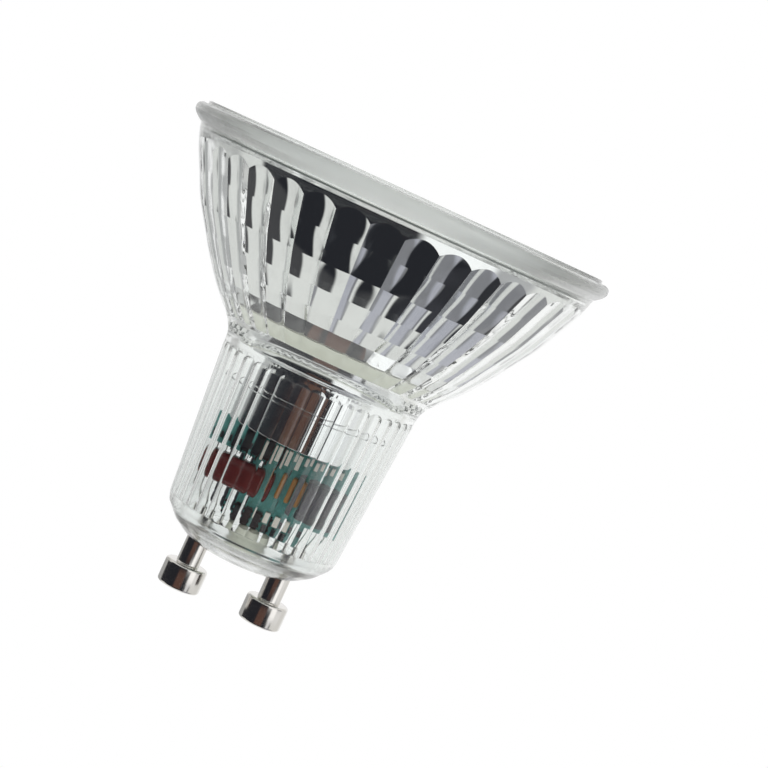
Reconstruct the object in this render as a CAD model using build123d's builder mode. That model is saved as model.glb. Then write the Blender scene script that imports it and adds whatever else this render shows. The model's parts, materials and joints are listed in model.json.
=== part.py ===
"""LED spotlight bulb with a twist-and-lock two-pin base, as an assembly of separate parts.

Millimetres, +Z up. The lamp axis is Z, the light leaves upward and the two contact
pins point down. Z = 0 is the underside of the glass base, where the pins come out.
Depths named *_depth are measured down from the face of the front lens.
"""
import os
from math import asin, cos, degrees, radians, sin, tan

from build123d import *

# Overall sizes
body_height = 45.2          # base underside to the face of the lens
rim_radius = 25.0           # widest part of the lip
pin_spacing = 10.0
pin_reach = 6.0             # pin ends below the base
cut_over = 1.0              # length by which a cutting solid stands out

# Front lens and its seat
lens_cap_radius = rim_radius - 1.1
lens_cap_height = 0.4
lens_cap_edge = 0.15
lens_plug_radius = rim_radius - 2.1
lens_plug_depth = 2.65
lens_plain_width = 1.6      # plain border outside the stepped rings
lens_dome_radius = 9.0
lens_dome_sag = 2.6
lens_ring_count = 5
lens_ring_step = 0.22
seat_radius = rim_radius - 2.0
seat_depth = 2.9

# Lip and bell of the glass
lip_top_depth = 0.4
lip_wall_top = 0.85
lip_wall_bottom = 1.35
lip_crown = [(0.55, -0.45), (0.15, -0.25)]   # (inset, drop) from the wall's upper end
lip_under = [(0.25, 0.4), (0.6, 0.7)]        # (inset, drop) from the wall's lower end
facet_width = 11.65         # band to neck bore for which the bell's insets are given
bell_outline = [            # (inset from the rim, depth) from under the lip to the neck
    (1.15, 2.5),
    (1.65, 4.2),
    (2.9, 6.9),
    (4.4, 10.0),
    (6.05, 12.6),
    (7.5, 14.8),
    (8.65, 16.4),
    (9.8, 17.9),
    (11.15, 19.4),
]
neck_top_radius = 11.75
neck_top_depth = 22.3
neck_bend = (0.6, 1.2)      # point of the neck's fillet, outside and above its top
neck_start = (0.1, 1.4)     # end of the fillet, inside and below the neck's top
neck_bottom_radius = 10.25
neck_bottom_depth = 41.3
base_bevel = [              # (inset, depth) of the base's outer corner
    (0.3, 42.2),
    (1.65, 43.7),
    (3.25, 44.75),
    (4.45, body_height),
]

# Fluted mirror surface inside the bell
flute_count = 36
flute_swing = 14.0          # half the turn of each flute's hollow face, degrees
band_top_radius = rim_radius - 2.95
band_bottom_radius = rim_radius - 3.15
band_bottom_depth = 5.2
flute_rows = [              # (ridge inset from the rim, depth) of each break between rows
    (2.42, 3.1),
    (4.25, 6.9),
    (5.85, 10.0),
    (7.5, 12.6),
    (9.05, 14.8),
    (10.35, 16.4),
    (11.7, 17.9),
]
coating_thickness = 0.2
coating_start = 0.3         # plain border between the seat and the mirror
coating_end_depth = 16.4    # the last facet row stays clear

# Neck cavity and its grooves
neck_bore_top = neck_top_radius - 1.55
neck_bore_bottom = neck_bottom_radius - 0.95
shoulder_radius = neck_bore_top + 1.2
shoulder_depth = 19.6
groove_count = 36
groove_phase = 2.5
groove_radius = 2.0
groove_depth = 0.22
groove_top_depth = 22.2
groove_bottom_depth = 41.2
floor_depth = 43.2
floor_corner = 1.2

# Aluminium heat sink cup, light source board
flange_radius = shoulder_radius - 0.2
flange_thickness = 0.5
upstand_gap = 0.6           # silicone between the upstand's foot and the glass
upstand_top_depth = 16.3
upstand_bottom_depth = 18.1
collar_radius = neck_bore_top - 1.7
collar_bottom_depth = 22.4
collar_edge = 0.3
sleeve_radius = collar_radius - 1.8
sleeve_bottom_depth = 30.7
cup_wall = 0.5
cup_floor = 0.8
link_hole_radius = 0.7
source_board_radius = 7.4
source_board_thickness = 1.0
source_board_notch = 0.9
substrate_side = 6.0
substrate_corner = 0.4
substrate_thickness = 0.7
dam_outer = 2.7
dam_inner = 2.3
dam_height = 0.35
phosphor_height = 0.27
terminal_size = (2.0, 3.4, 1.4)
terminal_chamfer = 0.2
terminal_offset = 5.2
link_pin_radius = 0.32
link_pin_overlap = 2.2      # length of a link pin along the board's tab
link_pin_rise = 0.25        # height of its bend above the tab
link_pin_inset = 0.9        # distance from the tab's side
link_pin_cover = 0.3        # distance of its tip below the terminal's top

# Clear insulating tube and driver board
tube_outer = neck_bore_bottom - 0.8
tube_wall = 0.45
tube_top_depth = 26.6
board_thickness = 1.0
board_face_y = 1.2          # front face of the driver board
board_width = 15.0
board_shoulder_depth = 30.9
board_tab_width = 9.6
board_tab_depth = 23.6
board_left_depth = 34.2     # lower edge of the board's left arm
board_right_depth = 39.0    # lower edge of the board's right arm
board_stem = (-2.8, 4.6)    # left and right side of the part between and below the arms
board_foot_gap = 0.6        # height of the board's foot above the riveted flanges
board_corner = 0.6

# Parts on the driver board: places are (x, depth) of the middle
film_capacitor_place = (-4.0, 36.35)
film_capacitor_size = (6.6, 3.3, 3.4)
film_capacitor_round = 1.0
inductor_place = (5.1, 35.8)
inductor_radius = 2.3
inductor_post = 1.0
inductor_winding_radius = 2.0
inductor_flange = 0.7
inductor_height = 4.4
fuse_place = (1.9, 35.7)
fuse_radius = 0.9
fuse_length = 3.0
fuse_round = 0.35
rectifier_place = (-3.5, 32.6)
rectifier_size = (3.4, 1.4, 2.4)
rectifier_chamfer = 0.25
rectifier_leads = (1.1, 1.45)       # offsets of its four leads
rectifier_lead = (0.5, 0.3, 0.7)
ic_place = (-1.1, 40.4)
ic_size = (2.4, 1.2, 2.0)
ic_chamfer = 0.2
ic_leads = (1.4, 0.62)              # offset and pitch of its six leads
ic_lead = (0.55, 0.24, 0.28)
can_x = -1.4
can_radius = 2.7
can_height = 8.2
can_lift = 0.6
can_edge = 0.2
can_groove = (0.9, 1.15, 1.4, 0.25)  # start, middle and end height of the groove, depth
ceramic_thickness = 0.8
ceramic_spots = [           # (x, depth, width, height) of the small ceramic chips
    (0.5, 32.6, 1.3, 1.7),
    (-1.0, 32.9, 0.7, 2.2),
    (3.0, 32.2, 1.2, 0.9),
    (1.9, 39.7, 1.9, 1.2),
    (5.2, 32.0, 1.4, 0.8),
]
resistor_thickness = 0.5
resistor_spots = [
    (-1.0, 31.0, 1.4, 0.8),
    (2.3, 41.0, 1.6, 0.8),
    (3.9, 39.9, 1.2, 0.7),
    (-6.4, 33.2, 1.2, 0.7),
]
silicone_radius = 2.45
silicone_cover = 0.1        # height of the silicone above the board's foot
silicone_outline = [(0.0, 0.7), (0.3, 1.5)]  # (inset, height) up its side
silicone_crown = (0.9, 1.5, 0.15)            # insets and height of its crown

# Contact pins
pin_shaft_radius = 1.35
pin_head_radius = 2.5
pin_head_height = 2.9
pin_head_edge = 0.32
pin_flange_radius = 2.1
pin_flange_edge = 0.3
pin_flange_height = 0.7
pin_stem_radius = 0.8
pin_stem_height = 1.6
washer_radius = 2.5
washer_thickness = 0.35
wire_radius = 0.28
wire_lift = 0.5             # straight start of a wire above its pin
wire_run = 1.7              # height over which it reaches the board's back
wire_offset = 1.2           # its distance outside the pin
wire_overlap = 0.8          # length soldered to the board


def height(depth):
    """Z of a point a given depth below the lens face."""
    return body_height - depth


def polar(radius, angle):
    """Point at a radius and an angle in degrees."""
    return (radius * cos(radians(angle)), radius * sin(radians(angle)))


def from_rim(inset):
    """Radius at an inset from the rim, stretched about the band with the bell's width."""
    stretch = (band_bottom_radius - neck_bore_top) / facet_width
    return band_bottom_radius + (rim_radius - band_bottom_radius - inset) * stretch


def band_radius(depth):
    """Radius of the smooth mirror band, a slight cone, at a depth."""
    share = (depth - seat_depth) / (band_bottom_depth - seat_depth)
    return band_top_radius + (band_bottom_radius - band_top_radius) * share


def ridge_rows():
    """Ridge radius and depth of each break between facet rows, from the top."""
    return [(from_rim(inset), depth) for inset, depth in flute_rows]


def flute_middle(ridge_radius):
    """Radius at the middle of a hollow flute whose ridges stand at ridge_radius."""
    half = radians(180.0 / flute_count)
    sag = ridge_radius * sin(half) * tan(radians(flute_swing / 2))
    return ridge_radius * cos(half) - sag


def fluted_section(z, ridge_radius):
    """Closed outline of hollow flutes with ridges on ridge_radius, at height z."""
    pitch = 360.0 / flute_count
    middle = flute_middle(ridge_radius)
    with BuildSketch(Plane.XY.offset(z)) as section:
        with BuildLine():
            for i in range(flute_count):
                start = -90 + (i - 0.5) * pitch
                ThreePointArc(
                    polar(ridge_radius, start),
                    polar(middle, start + pitch / 2),
                    polar(ridge_radius, start + pitch),
                )
        make_face()
    return section.sketch


def fluted_core(inset=0.0):
    """Solid that fills the faceted part of the mirror, made smaller by inset."""
    top, bottom = flute_rows[0][1], flute_rows[-1][1]
    with BuildPart() as core:
        for ridge, depth in ridge_rows():
            add(fluted_section(height(depth), ridge - inset))
        loft(ruled=True)
        with BuildSketch(Plane.XZ):
            with BuildLine():
                Polyline(
                    (0, height(bottom + cut_over)),
                    (band_bottom_radius - inset, height(bottom + cut_over)),
                    (band_bottom_radius - inset, height(band_bottom_depth)),
                    (band_radius(top) - inset, height(top)),
                    (band_radius(top) - inset, height(top - cut_over)),
                    (0, height(top - cut_over)),
                    close=True,
                )
            make_face()
        revolve(axis=Axis.Z, mode=Mode.INTERSECT)
    return core.part


def band_core(inset=0.0):
    """Solid that fills the smooth mirror band between the lens seat and the flutes."""
    top = flute_rows[0][1]
    with BuildPart() as core:
        with BuildSketch(Plane.XZ):
            with BuildLine():
                Polyline(
                    (0, height(top)),
                    (band_radius(top) - inset, height(top)),
                    (band_top_radius - inset, height(seat_depth)),
                    (0, height(seat_depth)),
                    close=True,
                )
            make_face()
        revolve(axis=Axis.Z)
    return core.part


def turned(points):
    """Solid turned about Z from the (radius, z) points of a closed outline."""
    with BuildPart() as solid:
        with BuildSketch(Plane.XZ):
            with BuildLine():
                Polyline(*points, close=True)
            make_face()
        revolve(axis=Axis.Z)
    return solid.part


def groove_cutter():
    """One round groove of the neck with a ball-shaped upper end, standing on Z = 0."""
    length = groove_bottom_depth - groove_top_depth
    with BuildPart() as cutter:
        with BuildSketch(Plane.XZ):
            with BuildLine():
                Polyline((0, length), (0, 0), (groove_radius, 0),
                         (groove_radius, length - groove_radius))
                RadiusArc((groove_radius, length - groove_radius), (0, length),
                          -groove_radius)
            make_face()
        revolve(axis=Axis.Z)
    return cutter.part


def neck_bore_at(depth):
    """Smooth bore radius of the neck at a depth."""
    share = (depth - shoulder_depth) / (floor_depth - shoulder_depth)
    return neck_bore_top + (neck_bore_bottom - neck_bore_top) * share


def make_glass_body():
    """Pressed glass bell, neck and base with the fluted cavity and the grooved neck."""
    bell = [(from_rim(inset), height(depth)) for inset, depth in bell_outline]
    bevel = [(neck_bottom_radius - inset, height(depth)) for inset, depth in base_bevel]
    start = (neck_top_radius - neck_start[0], height(neck_top_depth + neck_start[1]))
    with BuildPart() as glass_body:
        with BuildSketch(Plane.XZ):
            with BuildLine():
                Polyline(
                    (0, height(lip_top_depth)),
                    *[(rim_radius - inset, height(lip_wall_top + drop))
                      for inset, drop in lip_crown],
                    (rim_radius, height(lip_wall_top)),
                    (rim_radius, height(lip_wall_bottom)),
                    *[(rim_radius - inset, height(lip_wall_bottom + drop))
                      for inset, drop in lip_under],
                    bell[0],
                )
                Spline(*bell)
                Spline(
                    bell[-1],
                    (neck_top_radius + neck_bend[0], height(neck_top_depth - neck_bend[1])),
                    (neck_top_radius, height(neck_top_depth)),
                    start,
                )
                Polyline(
                    start,
                    (neck_bottom_radius, height(neck_bottom_depth)),
                    *bevel,
                    (0, 0),
                    (0, height(lip_top_depth)),
                )
            make_face()
        revolve(axis=Axis.Z)
        add(turned([
            (0, height(lip_top_depth) + cut_over),
            (seat_radius, height(lip_top_depth) + cut_over),
            (seat_radius, height(seat_depth)),
            (0, height(seat_depth)),
        ]), mode=Mode.SUBTRACT)
        add(band_core(), mode=Mode.SUBTRACT)
        add(fluted_core(), mode=Mode.SUBTRACT)
        last_ridge, last_depth = ridge_rows()[-1]
        add(turned([
            (0, height(last_depth)),
            (flute_middle(last_ridge), height(last_depth)),
            (shoulder_radius, height(shoulder_depth)),
            (neck_bore_top, height(shoulder_depth)),
            (neck_bore_bottom, height(floor_depth - floor_corner)),
            (neck_bore_bottom - floor_corner, height(floor_depth)),
            (0, height(floor_depth)),
        ]), mode=Mode.SUBTRACT)
        cutter = groove_cutter()
        top = neck_bore_at(groove_top_depth)
        bottom = neck_bore_at(groove_bottom_depth)
        lean = degrees(asin((top - bottom) / (groove_bottom_depth - groove_top_depth)))
        centre = bottom + groove_depth - groove_radius
        for i in range(groove_count):
            angle = -90 + groove_phase + i * 360.0 / groove_count
            placed = (
                Rot(0, 0, angle)
                * Pos(centre, 0, height(groove_bottom_depth))
                * Rot(0, lean, 0)
                * cutter
            )
            add(placed, mode=Mode.SUBTRACT)
        with Locations((-pin_spacing / 2, 0, 0), (pin_spacing / 2, 0, 0)):
            Cylinder(
                radius=pin_shaft_radius,
                height=2 * (body_height - floor_depth) + cut_over,
                mode=Mode.SUBTRACT,
            )
    glass_body.part.label = "glass_body"
    return glass_body


def make_mirror_coating():
    """Reflective lining on the band and the facets, an open shell."""
    with BuildPart() as mirror_coating:
        add(band_core())
        add(fluted_core())
        add(band_core(coating_thickness), mode=Mode.SUBTRACT)
        add(fluted_core(coating_thickness), mode=Mode.SUBTRACT)
        with BuildSketch(Plane.XY.offset(height(seat_depth + coating_start))):
            Circle(rim_radius)
        extrude(amount=2 * coating_start, mode=Mode.SUBTRACT)
        with BuildSketch(Plane.XY.offset(height(coating_end_depth))):
            Circle(rim_radius)
        extrude(amount=coating_end_depth - floor_depth, mode=Mode.SUBTRACT)
    mirror_coating.part.label = "mirror_coating"
    return mirror_coating


def make_front_lens():
    """Clear moulded cover: raised face, plug in the seat, stepped rings and centre dome."""
    plug_z = height(lens_plug_depth)
    dome_curve = (lens_dome_radius**2 + lens_dome_sag**2) / (2 * lens_dome_sag)
    with BuildPart() as front_lens:
        with BuildSketch(Plane.XZ):
            with BuildLine():
                points = [
                    (0, body_height),
                    (lens_cap_radius - lens_cap_edge, body_height),
                    (lens_cap_radius, body_height - lens_cap_edge),
                    (lens_cap_radius, height(lens_cap_height)),
                    (lens_plug_radius, height(lens_cap_height)),
                    (lens_plug_radius, plug_z),
                ]
                x = lens_plug_radius - lens_plain_width
                ring_width = (x - lens_dome_radius) / lens_ring_count
                points.append((x, plug_z))
                for _ in range(lens_ring_count):
                    points.append((x, plug_z + lens_ring_step))
                    x -= ring_width
                    points.append((x, plug_z))
                Polyline(*points)
                RadiusArc((lens_dome_radius, plug_z), (0, plug_z - lens_dome_sag),
                          dome_curve)
                Line((0, plug_z - lens_dome_sag), (0, body_height))
            make_face()
        revolve(axis=Axis.Z)
    front_lens.part.label = "front_lens"
    return front_lens


def make_lens_adhesive():
    """Ring of adhesive under the lens plug on the seat of the glass."""
    with BuildPart() as lens_adhesive:
        with BuildSketch(Plane.XY.offset(height(seat_depth))):
            Circle(lens_plug_radius)
            Circle(band_top_radius, mode=Mode.SUBTRACT)
        extrude(amount=seat_depth - lens_plug_depth)
    lens_adhesive.part.label = "lens_adhesive"
    return lens_adhesive


def cone_radius(depth):
    """Radius of the plain cone between the last facets and the glass shoulder."""
    last_ridge, last_depth = ridge_rows()[-1]
    share = (depth - last_depth) / (shoulder_depth - last_depth)
    return flute_middle(last_ridge) * (1 - share) + shoulder_radius * share


def upstand_radius():
    """Outside radius of the cup's upstand, clear of the glass by the silicone."""
    return cone_radius(upstand_bottom_depth) - upstand_gap


def make_cup_adhesive():
    """Ring of pale silicone between the cup's flare and the glass, on the shoulder."""
    with BuildPart() as cup_adhesive:
        add(turned([
            (flange_radius, height(shoulder_depth)),
            (shoulder_radius, height(shoulder_depth)),
            (cone_radius(upstand_bottom_depth), height(upstand_bottom_depth)),
            (upstand_radius(), height(upstand_bottom_depth)),
        ]))
    cup_adhesive.part.label = "cup_adhesive"
    return cup_adhesive


def make_heat_sink_cup():
    """Drawn aluminium cup: upstand, flared flange, collar and narrower sleeve."""
    top = height(shoulder_depth) + flange_thickness
    floor_top = height(collar_bottom_depth) + cup_floor
    upstand = upstand_radius()
    with BuildPart() as heat_sink_cup:
        add(turned([
            (0, floor_top),
            (collar_radius - cup_wall, floor_top),
            (collar_radius - cup_wall, top),
            (flange_radius - cup_wall, top),
            (upstand - cup_wall, height(upstand_bottom_depth)),
            (upstand - cup_wall, height(upstand_top_depth)),
            (upstand, height(upstand_top_depth)),
            (upstand, height(upstand_bottom_depth)),
            (flange_radius, height(shoulder_depth)),
            (collar_radius, height(shoulder_depth)),
            (collar_radius, height(collar_bottom_depth) + collar_edge),
            (collar_radius - collar_edge, height(collar_bottom_depth)),
            (sleeve_radius, height(collar_bottom_depth)),
            (sleeve_radius, height(sleeve_bottom_depth)),
            (sleeve_radius - cup_wall, height(sleeve_bottom_depth)),
            (sleeve_radius - cup_wall, height(collar_bottom_depth)),
            (0, height(collar_bottom_depth)),
        ]))
        with Locations((-terminal_offset, 0, floor_top), (terminal_offset, 0, floor_top)):
            Cylinder(radius=link_hole_radius, height=4 * cup_floor, mode=Mode.SUBTRACT)
    heat_sink_cup.part.label = "heat_sink_cup"
    return heat_sink_cup


def source_floor():
    """Height of the cup's floor, on which the light source board lies."""
    return height(collar_bottom_depth) + cup_floor


def make_source_board():
    """Round metal-core board on the cup's floor, with holes for the two link pins."""
    with BuildPart() as source_board:
        with BuildSketch(Plane.XY.offset(source_floor())):
            Circle(source_board_radius)
            with Locations((-terminal_offset, 0), (terminal_offset, 0)):
                Circle(link_hole_radius, mode=Mode.SUBTRACT)
            with Locations((0, -source_board_radius), (0, source_board_radius)):
                Circle(source_board_notch, mode=Mode.SUBTRACT)
        extrude(amount=source_board_thickness)
    source_board.part.label = "source_board"
    return source_board


def make_led_substrate():
    """Square ceramic carrier of the light source."""
    with BuildPart() as led_substrate:
        with BuildSketch(Plane.XY.offset(source_floor() + source_board_thickness)):
            RectangleRounded(substrate_side, substrate_side, substrate_corner)
        extrude(amount=substrate_thickness)
    led_substrate.part.label = "led_substrate"
    return led_substrate


def make_led_dam():
    """White ring that holds the phosphor."""
    with BuildPart() as led_dam:
        z = source_floor() + source_board_thickness + substrate_thickness
        with BuildSketch(Plane.XY.offset(z)):
            Circle(dam_outer)
            Circle(dam_inner, mode=Mode.SUBTRACT)
        extrude(amount=dam_height)
    led_dam.part.label = "led_dam"
    return led_dam


def make_led_phosphor():
    """Yellow phosphor layer inside the ring."""
    with BuildPart() as led_phosphor:
        z = source_floor() + source_board_thickness + substrate_thickness
        with BuildSketch(Plane.XY.offset(z)):
            Circle(dam_inner)
        extrude(amount=phosphor_height)
    led_phosphor.part.label = "led_phosphor"
    return led_phosphor


def make_terminal(name, side):
    """Small terminal block on the light source board that takes a link pin."""
    width, length, tall = terminal_size
    z = source_floor() + source_board_thickness
    with BuildPart() as terminal:
        with BuildSketch(Plane.XY.offset(z)):
            with Locations((side * terminal_offset, 0)):
                Rectangle(width, length)
                Circle(link_pin_radius, mode=Mode.SUBTRACT)
        extrude(amount=tall)
        chamfer(terminal.faces().sort_by(Axis.Z)[-1].outer_wire().edges(),
                length=terminal_chamfer)
    terminal.part.label = name
    return terminal


def make_link_pin(name, side):
    """Square-bent link pin from the driver board up into its terminal."""
    foot_z = height(board_tab_depth) - link_pin_overlap
    bend_z = height(board_tab_depth) + link_pin_rise
    top_z = source_floor() + source_board_thickness + terminal_size[2] - link_pin_cover
    x = side * terminal_offset
    tab_x = side * (board_tab_width / 2 - link_pin_inset)
    y = board_face_y - link_pin_radius
    with BuildPart() as link_pin:
        with BuildLine():
            Polyline((tab_x, y, foot_z), (tab_x, y, bend_z), (x, 0, bend_z), (x, 0, top_z))
        with BuildSketch(Plane(origin=(tab_x, y, foot_z))):
            Circle(link_pin_radius)
        sweep(transition=Transition.RIGHT)
    link_pin.part.label = name
    return link_pin


def make_insulation_tube():
    """Clear tube round the driver, standing in the rounded corner of the base."""
    foot = height(floor_depth) + tube_outer - (neck_bore_bottom - floor_corner)
    with BuildPart() as insulation_tube:
        with BuildSketch(Plane.XY.offset(foot)):
            Circle(tube_outer)
            Circle(tube_outer - tube_wall, mode=Mode.SUBTRACT)
        extrude(amount=height(tube_top_depth) - foot)
    insulation_tube.part.label = "insulation_tube"
    return insulation_tube


def board_bottom():
    """Height of the driver board's lower edge."""
    return height(floor_depth) + washer_thickness + pin_flange_height + board_foot_gap


def make_driver_board():
    """Driver board: a tab up inside the sleeve, two arms of unequal depth and a stem."""
    shoulder = height(board_shoulder_depth)
    tab_top = height(board_tab_depth)
    half = board_width / 2
    tab = board_tab_width / 2
    left, right = board_stem
    with BuildPart() as driver_board:
        with BuildSketch(Plane.XZ.offset(-board_face_y - board_thickness)):
            with BuildLine():
                Polyline(
                    (left, board_bottom() + board_corner),
                    (left, height(board_left_depth)),
                    (-half, height(board_left_depth)),
                    (-half, shoulder),
                    (-tab, shoulder),
                    (-tab, tab_top),
                    (tab, tab_top),
                    (tab, shoulder),
                    (half, shoulder),
                    (half, height(board_right_depth)),
                    (right, height(board_right_depth)),
                    (right, board_bottom() + board_corner),
                    (right - board_corner, board_bottom()),
                    (left + board_corner, board_bottom()),
                    close=True,
                )
            make_face()
        extrude(amount=board_thickness)
    driver_board.part.label = "driver_board"
    return driver_board


def on_board(place, thickness):
    """Middle of a part of some thickness that lies on the board's front face."""
    x, depth = place
    return (x, board_face_y - thickness / 2, height(depth))


def make_film_capacitor():
    """Dipped film capacitor lying against the front of the driver board."""
    with BuildPart() as film_capacitor:
        with Locations(on_board(film_capacitor_place, film_capacitor_size[1])):
            Box(*film_capacitor_size)
        fillet(film_capacitor.edges(), radius=film_capacitor_round)
    film_capacitor.part.label = "film_capacitor"
    return film_capacitor


def inductor_middle():
    """Middle of the drum core, whose flanges touch the board."""
    return on_board(inductor_place, 2 * inductor_radius)


def make_inductor_core():
    """Drum core of the inductor: a post between two round flanges."""
    x, y, z = inductor_middle()
    flange = (inductor_height - inductor_flange) / 2
    with BuildPart() as inductor_core:
        with Locations((x, y, z)):
            Cylinder(radius=inductor_post, height=inductor_height)
        with Locations((x, y, z - flange), (x, y, z + flange)):
            Cylinder(radius=inductor_radius, height=inductor_flange)
    inductor_core.part.label = "inductor_core"
    return inductor_core


def make_inductor_winding():
    """Wound wire between the flanges of the drum core."""
    length = inductor_height - 2 * inductor_flange
    with BuildPart() as inductor_winding:
        with Locations(inductor_middle()):
            Cylinder(radius=inductor_winding_radius, height=length)
            Cylinder(radius=inductor_post, height=length, mode=Mode.SUBTRACT)
    inductor_winding.part.label = "inductor_winding"
    return inductor_winding


def make_fuse_resistor():
    """Upright fusible resistor with rounded ends, against the board."""
    with BuildPart() as fuse_resistor:
        with Locations(on_board(fuse_place, 2 * fuse_radius)):
            Cylinder(radius=fuse_radius, height=fuse_length)
        ends = fuse_resistor.edges().filter_by(GeomType.CIRCLE)
        fillet(ends, radius=fuse_round)
    fuse_resistor.part.label = "fuse_resistor"
    return fuse_resistor


def make_bridge_rectifier():
    """Flat four-lead rectifier on the front of the board, left of the middle."""
    x, _, z = on_board(rectifier_place, 0)
    lead_y = on_board(rectifier_place, rectifier_lead[1])[1]
    across, along = rectifier_leads
    with BuildPart() as bridge_rectifier:
        with Locations(on_board(rectifier_place, rectifier_size[1])):
            Box(*rectifier_size)
        chamfer(bridge_rectifier.faces().sort_by(Axis.Y)[0].edges(),
                length=rectifier_chamfer)
        with Locations(*[
            (x + sx * across, lead_y, z + sz * along) for sx in (-1, 1) for sz in (-1, 1)
        ]):
            Box(*rectifier_lead)
    bridge_rectifier.part.label = "bridge_rectifier"
    return bridge_rectifier


def make_driver_ic():
    """Small driver chip low on the board."""
    x, _, z = on_board(ic_place, 0)
    lead_y = on_board(ic_place, ic_lead[1])[1]
    across, pitch = ic_leads
    with BuildPart() as driver_ic:
        with Locations(on_board(ic_place, ic_size[1])):
            Box(*ic_size)
        chamfer(driver_ic.faces().sort_by(Axis.Y)[0].edges(), length=ic_chamfer)
        with Locations(*[
            (x + side * across, lead_y, z + row * pitch)
            for side in (-1, 1) for row in (-1, 0, 1)
        ]):
            Box(*ic_lead)
    driver_ic.part.label = "driver_ic"
    return driver_ic


def make_bulk_capacitor():
    """Upright electrolytic can behind the driver board, with a rolled groove."""
    y = board_face_y + board_thickness + can_radius
    foot = board_bottom() + can_lift
    start, middle, end, cut = can_groove
    with BuildPart() as bulk_capacitor:
        add(turned([
            (0, foot),
            (can_radius - can_edge, foot),
            (can_radius, foot + can_edge),
            (can_radius, foot + start),
            (can_radius - cut, foot + middle),
            (can_radius, foot + end),
            (can_radius, foot + can_height - can_edge),
            (can_radius - can_edge, foot + can_height),
            (0, foot + can_height),
        ]).moved(Location((can_x, y, 0))))
    bulk_capacitor.part.label = "bulk_capacitor"
    return bulk_capacitor


def make_chips(name, spots, thickness):
    """Group of small surface-mounted chips soldered flat on the board's front face."""
    with BuildPart() as chips:
        for x, depth, wide, tall in spots:
            with Locations(on_board((x, depth), thickness)):
                Box(wide, thickness, tall)
    chips.part.label = name
    return chips


def make_contact_pin(name, side):
    """Nickelled pin: head, shaft through the base, flange riveted over the washer."""
    floor_z = height(floor_depth) + washer_thickness
    head_top = -pin_reach + pin_head_height
    edge = pin_head_edge
    with BuildPart() as contact_pin:
        with BuildSketch(Plane.XZ):
            with BuildLine():
                Polyline(
                    (0, -pin_reach),
                    (pin_head_radius - edge, -pin_reach),
                )
                RadiusArc((pin_head_radius - edge, -pin_reach),
                          (pin_head_radius, -pin_reach + edge), -edge)
                Line((pin_head_radius, -pin_reach + edge),
                     (pin_head_radius, head_top - edge))
                RadiusArc((pin_head_radius, head_top - edge),
                          (pin_head_radius - edge, head_top), -edge)
                Polyline(
                    (pin_head_radius - edge, head_top),
                    (pin_shaft_radius, head_top),
                    (pin_shaft_radius, floor_z),
                    (pin_flange_radius, floor_z),
                    (pin_flange_radius, floor_z + pin_flange_edge),
                    (pin_stem_radius + pin_flange_edge, floor_z + pin_flange_height),
                    (pin_stem_radius, floor_z + pin_flange_height),
                    (pin_stem_radius, floor_z + pin_stem_height),
                    (0, floor_z + pin_stem_height),
                    (0, -pin_reach),
                )
            make_face()
        revolve(axis=Axis.Z)
    placed = contact_pin.part.moved(Location((side * pin_spacing / 2, 0, 0)))
    with BuildPart() as moved_pin:
        add(placed)
    moved_pin.part.label = name
    return moved_pin


def make_pin_washer(name, side):
    """Washer on the inner floor under the riveted end of a pin."""
    with BuildPart() as pin_washer:
        with BuildSketch(Plane.XY.offset(height(floor_depth))):
            with Locations((side * pin_spacing / 2, 0)):
                Circle(washer_radius)
                Circle(pin_shaft_radius, mode=Mode.SUBTRACT)
        extrude(amount=washer_thickness)
    pin_washer.part.label = name
    return pin_washer


def make_supply_wire(name, side, arm_depth):
    """Bare wire from a pin's stem up to the back of the board's arm on its side."""
    stem_top = height(floor_depth) + washer_thickness + pin_stem_height
    x = side * pin_spacing / 2
    y = board_face_y + board_thickness + wire_radius
    with BuildPart() as supply_wire:
        with BuildLine():
            Polyline(
                (x, 0, stem_top),
                (x, 0, stem_top + wire_lift),
                (x + side * wire_offset, y, stem_top + wire_run),
                (x + side * wire_offset, y, height(arm_depth) + wire_overlap),
            )
        with BuildSketch(Plane(origin=(x, 0, stem_top))):
            Circle(wire_radius)
        sweep(transition=Transition.ROUND)
    supply_wire.part.label = name
    return supply_wire


def make_silicone_blob():
    """Cushion of cast silicone on the floor that holds the foot of the driver board."""
    z = height(floor_depth)
    top = board_bottom() + silicone_cover
    outer, inner, drop = silicone_crown
    with BuildPart() as silicone_blob:
        add(turned([
            (0, z),
            (silicone_radius, z),
            *[(silicone_radius - inset, z + rise) for inset, rise in silicone_outline],
            (silicone_radius - outer, top - drop),
            (silicone_radius - inner, top),
            (0, top),
        ]).moved(Location((0, board_face_y, 0))))
        add(make_driver_board().part, mode=Mode.SUBTRACT)
    silicone_blob.part.label = "silicone_blob"
    return silicone_blob


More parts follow.
